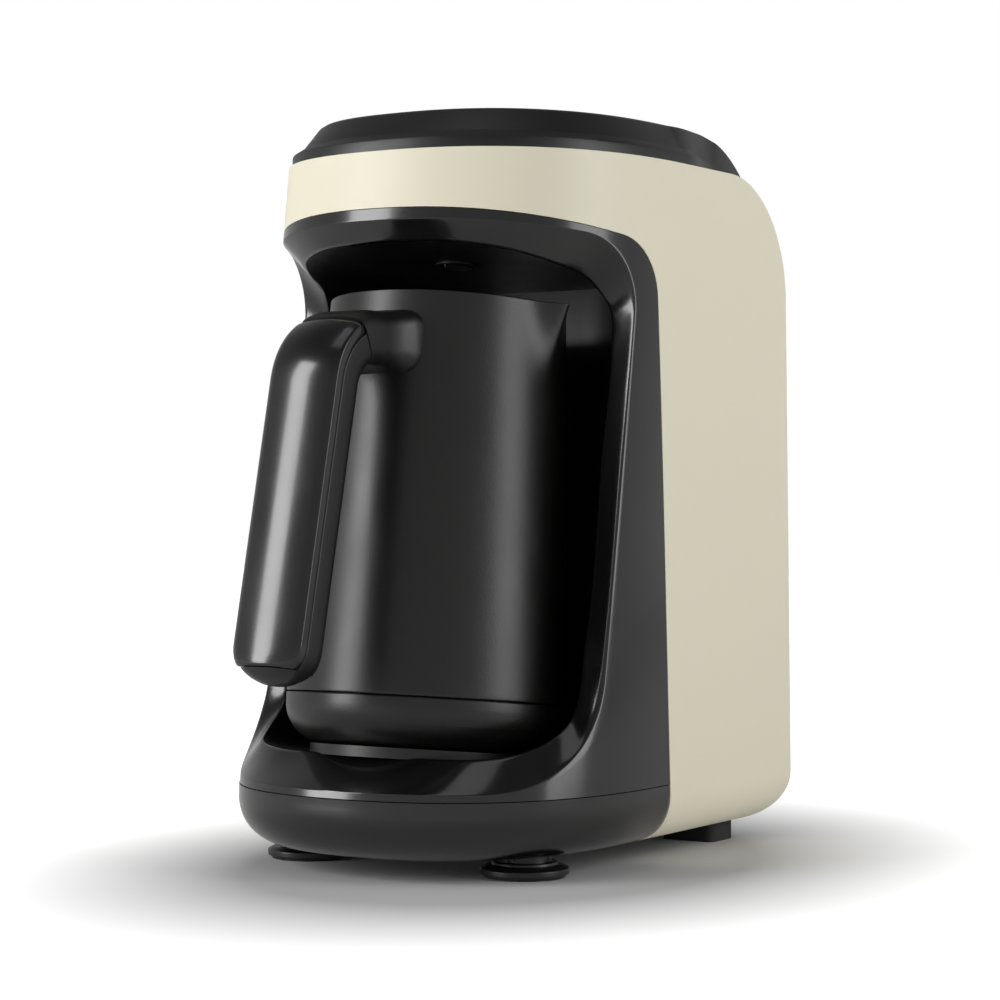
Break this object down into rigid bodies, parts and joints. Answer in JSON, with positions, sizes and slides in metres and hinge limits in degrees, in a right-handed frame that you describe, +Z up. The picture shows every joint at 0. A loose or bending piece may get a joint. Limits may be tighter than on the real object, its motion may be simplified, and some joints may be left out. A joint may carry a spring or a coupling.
{
  "type": "electric turkish coffee maker",
  "caption": "Countertop coffee maker with a lift-out handled pot in an open front bay, sprung top buttons and adjustable front feet.",
  "frame": {"origin": "centre of the footprint at table height", "axes": "+Z up, +Y to the machine's back, +X to its right-hand side seen from the front"},
  "size_m": [0.152, 0.2369, 0.2674],
  "materials": {
    "shell": "satin cream moulding",
    "black_gloss": "gloss black moulding",
    "black_satin": "satin black moulding",
    "panel": "piano black",
    "button": "satin black",
    "light": "milky light guide",
    "pot_coat": "satin black coated steel",
    "cup_plastic": "satin black",
    "steel": "brushed",
    "screw_steel": "zinc plated",
    "spring_steel": "plain",
    "brass": "plated",
    "rubber": "matte",
    "board": "circuit board laminate",
    "parts_dark": "component cases",
    "lens": "dark lens",
    "heater": "cast heater plate"
  },
  "bodies": {
    "machine": {"outer_shell": "shell", "front_frame": "black_gloss", "bay_liner": "black_satin", "base_tray": "black_gloss", "tray_screws": "screw_steel", "top_cover": "black_gloss", "control_panel": "panel", "light_ring": "light", "brew_spring": "spring_steel", "mode_spring": "spring_steel", "control_board": "board", "switches": "parts_dark", "buzzer": "parts_dark", "back_cover": "black_satin", "cord_gland": "rubber", "standoffs": "screw_steel", "power_board": "board", "relay": "parts_dark", "transformer": "parts_dark", "seat_ring": "black_satin", "contact_boss": "black_satin", "contact_pins": "brass", "foam_sensor_lens": "lens", "sensor_bezel": "black_satin", "front_foot_left": "black_satin", "front_foot_right": "black_satin", "front_foot_pads": "rubber", "rear_feet": "rubber"},
    "pot": {"pot_vessel": "pot_coat", "pot_base_cup": "cup_plastic", "pot_heater": "heater", "pot_contact_rings": "brass", "handle_body": "black_satin", "handle_cover": "black_gloss", "handle_bracket": "steel", "handle_screw": "screw_steel"},
    "brew_button": {"brew_button": "button"},
    "mode_button": {"mode_button": "button"}
  },
  "joints": [
    {"name": "pot_out", "type": "slide", "parent": "machine", "child": "pot", "axis": [0, -0.9703, 0.2419], "range_m": [0, 0.13]},
    {"name": "brew_press", "type": "slide", "parent": "machine", "child": "brew_button", "axis": [0, 0, -1], "range_m": [0, 0.0012], "stiffness_N_per_m": 300, "springref_m": -0.002, "deforming": ["brew_spring"]},
    {"name": "mode_press", "type": "slide", "parent": "machine", "child": "mode_button", "axis": [0, 0, -1], "range_m": [0, 0.0012], "stiffness_N_per_m": 300, "springref_m": -0.002, "deforming": ["mode_spring"]}
  ]
}
